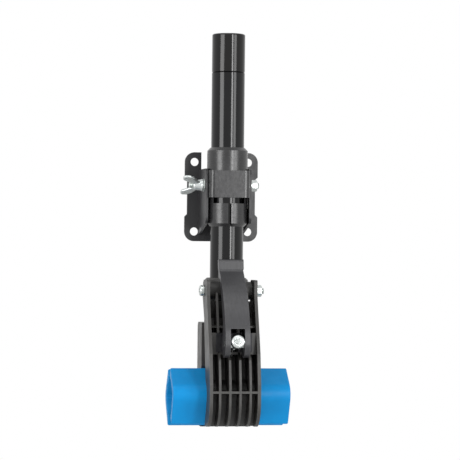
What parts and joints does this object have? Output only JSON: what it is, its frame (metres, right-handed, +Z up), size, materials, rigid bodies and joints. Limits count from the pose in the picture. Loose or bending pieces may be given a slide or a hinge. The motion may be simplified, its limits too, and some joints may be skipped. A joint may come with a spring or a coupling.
{
  "type": "bike repair stand",
  "caption": "Wall-mounted bike repair clamp: tilting swivel collar, sliding arm tube and a turning jaw head with a cam lever and rubber pads.",
  "frame": {"origin": "middle of the four wall screws, on the plate's back face", "axes": "+Z up along the wall, +X to the right for someone facing the wall, -Y out from the wall"},
  "size_m": [0.112, 0.1291, 0.3775],
  "materials": {
    "black_coated_steel": "black powder coat, slight grain",
    "grey_cast_alloy": "matte dark grey coated casting",
    "zinc_steel": "bright zinc plate",
    "black_oxide_steel": "blackened spring steel",
    "zinc_casting": "plated zinc casting",
    "spring_wire": "drawn spring wire",
    "gloss_black_tube": "gloss black paint",
    "gloss_black_cap": "gloss black moulding",
    "black_nylon": "glass-filled nylon, fine mould grain",
    "lever_nylon": "glass-filled nylon, semi-gloss",
    "blue_rubber": "satin blue moulded rubber"
  },
  "bodies": {
    "wall_bracket": {"wall_plate": "black_coated_steel"},
    "swivel": {"swivel_collar": "grey_cast_alloy", "pivot_stud_left": "zinc_steel", "pivot_stud_right": "zinc_steel", "pivot_washers": "zinc_steel", "pivot_lock_nut": "zinc_steel"},
    "wing": {"wing_nut": "zinc_casting"},
    "arm": {"arm_tube": "gloss_black_tube", "arm_cap": "gloss_black_cap"},
    "clamp_head": {"clamp_body": "black_nylon", "rear_pad": "blue_rubber", "jaw_pivot_bolt": "zinc_steel", "jaw_pivot_nut": "zinc_steel", "jaw_pivot_washers": "zinc_steel", "pinch_bolt": "zinc_steel", "pinch_nut": "zinc_steel", "spring_cup_rear": "zinc_steel"},
    "swing_jaw": {"front_jaw": "black_nylon", "front_pad": "blue_rubber", "cam_seat_plate": "black_oxide_steel"},
    "rod": {"draw_rod": "zinc_steel", "rod_anchor": "zinc_steel", "opening_spring": "spring_wire"},
    "carriage": {"cam_pin": "zinc_steel", "thrust_washer": "zinc_steel", "spring_cup_front": "zinc_steel"},
    "lever": {"cam_lever": "lever_nylon"},
    "adjuster": {"adjuster_nut": "zinc_steel"}
  },
  "joints": [
    {"name": "arm_tilt", "type": "hinge", "parent": "wall_bracket", "child": "swivel", "pos_m": [0, -0.043, 0.0104], "axis": [-1, 0, 0], "range_deg": [0, 90]},
    {"name": "tube_slide", "type": "slide", "parent": "swivel", "child": "arm", "axis": [0, 0, 1], "range_m": [-0.105, 0]},
    {"name": "head_turn", "type": "hinge", "parent": "arm", "child": "clamp_head", "pos_m": [0, -0.043, -0.1], "axis": [0, 0, 1], "continuous": true},
    {"name": "jaw_swing", "type": "hinge", "parent": "clamp_head", "child": "swing_jaw", "pos_m": [0, -0.064, -0.0904], "axis": [-1, 0, 0], "range_deg": [0, 15]},
    {"name": "rod_tilt", "type": "hinge", "parent": "clamp_head", "child": "rod", "pos_m": [0, -0.028, -0.1564], "axis": [-1, 0, 0], "range_deg": [0, 6.9]},
    {"name": "cam_slide", "type": "slide", "parent": "rod", "child": "carriage", "axis": [0, -0.9788, 0.2049], "range_m": [0, 0.0145]},
    {"name": "lever_turn", "type": "hinge", "parent": "carriage", "child": "lever", "pos_m": [0, -0.114, -0.1384], "axis": [1, 0, 0], "range_deg": [0, 130]},
    {"name": "wing_nut_spin", "type": "hinge", "parent": "swivel", "child": "wing", "pos_m": [0, -0.043, 0.0104], "axis": [1, 0, 0], "continuous": true},
    {"name": "adjuster_nut_spin", "type": "hinge", "parent": "carriage", "child": "adjuster", "pos_m": [0, -0.114, -0.1384], "axis": [0, -0.9788, 0.2049], "continuous": true}
  ],
  "couplings": [
    {"joint": "rod_tilt", "follows": "jaw_swing", "ratio": 0.4529},
    {"joint": "cam_slide", "follows": "jaw_swing", "m_per_rad": 0.05422}
  ]
}
